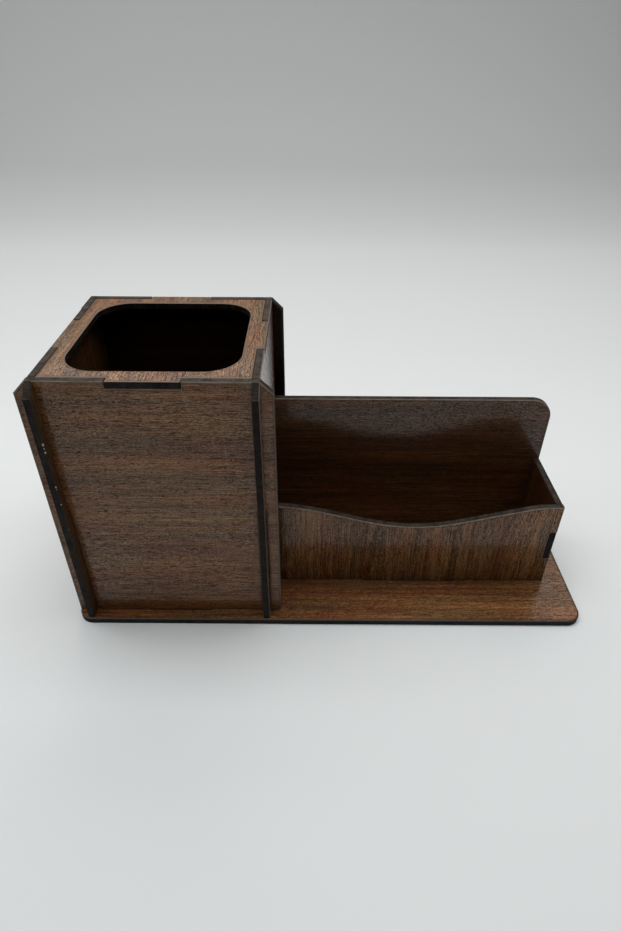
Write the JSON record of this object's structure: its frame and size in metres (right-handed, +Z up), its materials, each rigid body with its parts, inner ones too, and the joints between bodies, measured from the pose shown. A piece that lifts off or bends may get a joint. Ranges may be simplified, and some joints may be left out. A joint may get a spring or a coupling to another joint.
{
  "type": "pen holder",
  "caption": "Desk pen holder of slotted flat boards: a tall square pen cup with a rounded mouth beside a low open tray with a waved front, on a shared base plate.",
  "frame": {"origin": "middle of the base plate's underside", "axes": "+X along the holder from the pen cup to the tray, +Y from the front to the back, +Z up"},
  "size_m": [0.2336, 0.095, 0.123],
  "materials": {
    "walnut_board": "satin walnut-look laminate on 3 mm fibreboard, edges charred dark by the cutting beam"
  },
  "bodies": {
    "root": {"base_plate": "walnut_board", "cup_front_wall": "walnut_board", "cup_back_wall": "walnut_board", "cup_left_wall": "walnut_board", "cup_right_wall": "walnut_board", "rim_plate": "walnut_board", "tray_front_panel": "walnut_board", "tray_back_panel": "walnut_board", "tray_end_panel": "walnut_board"}
  },
  "joints": []
}
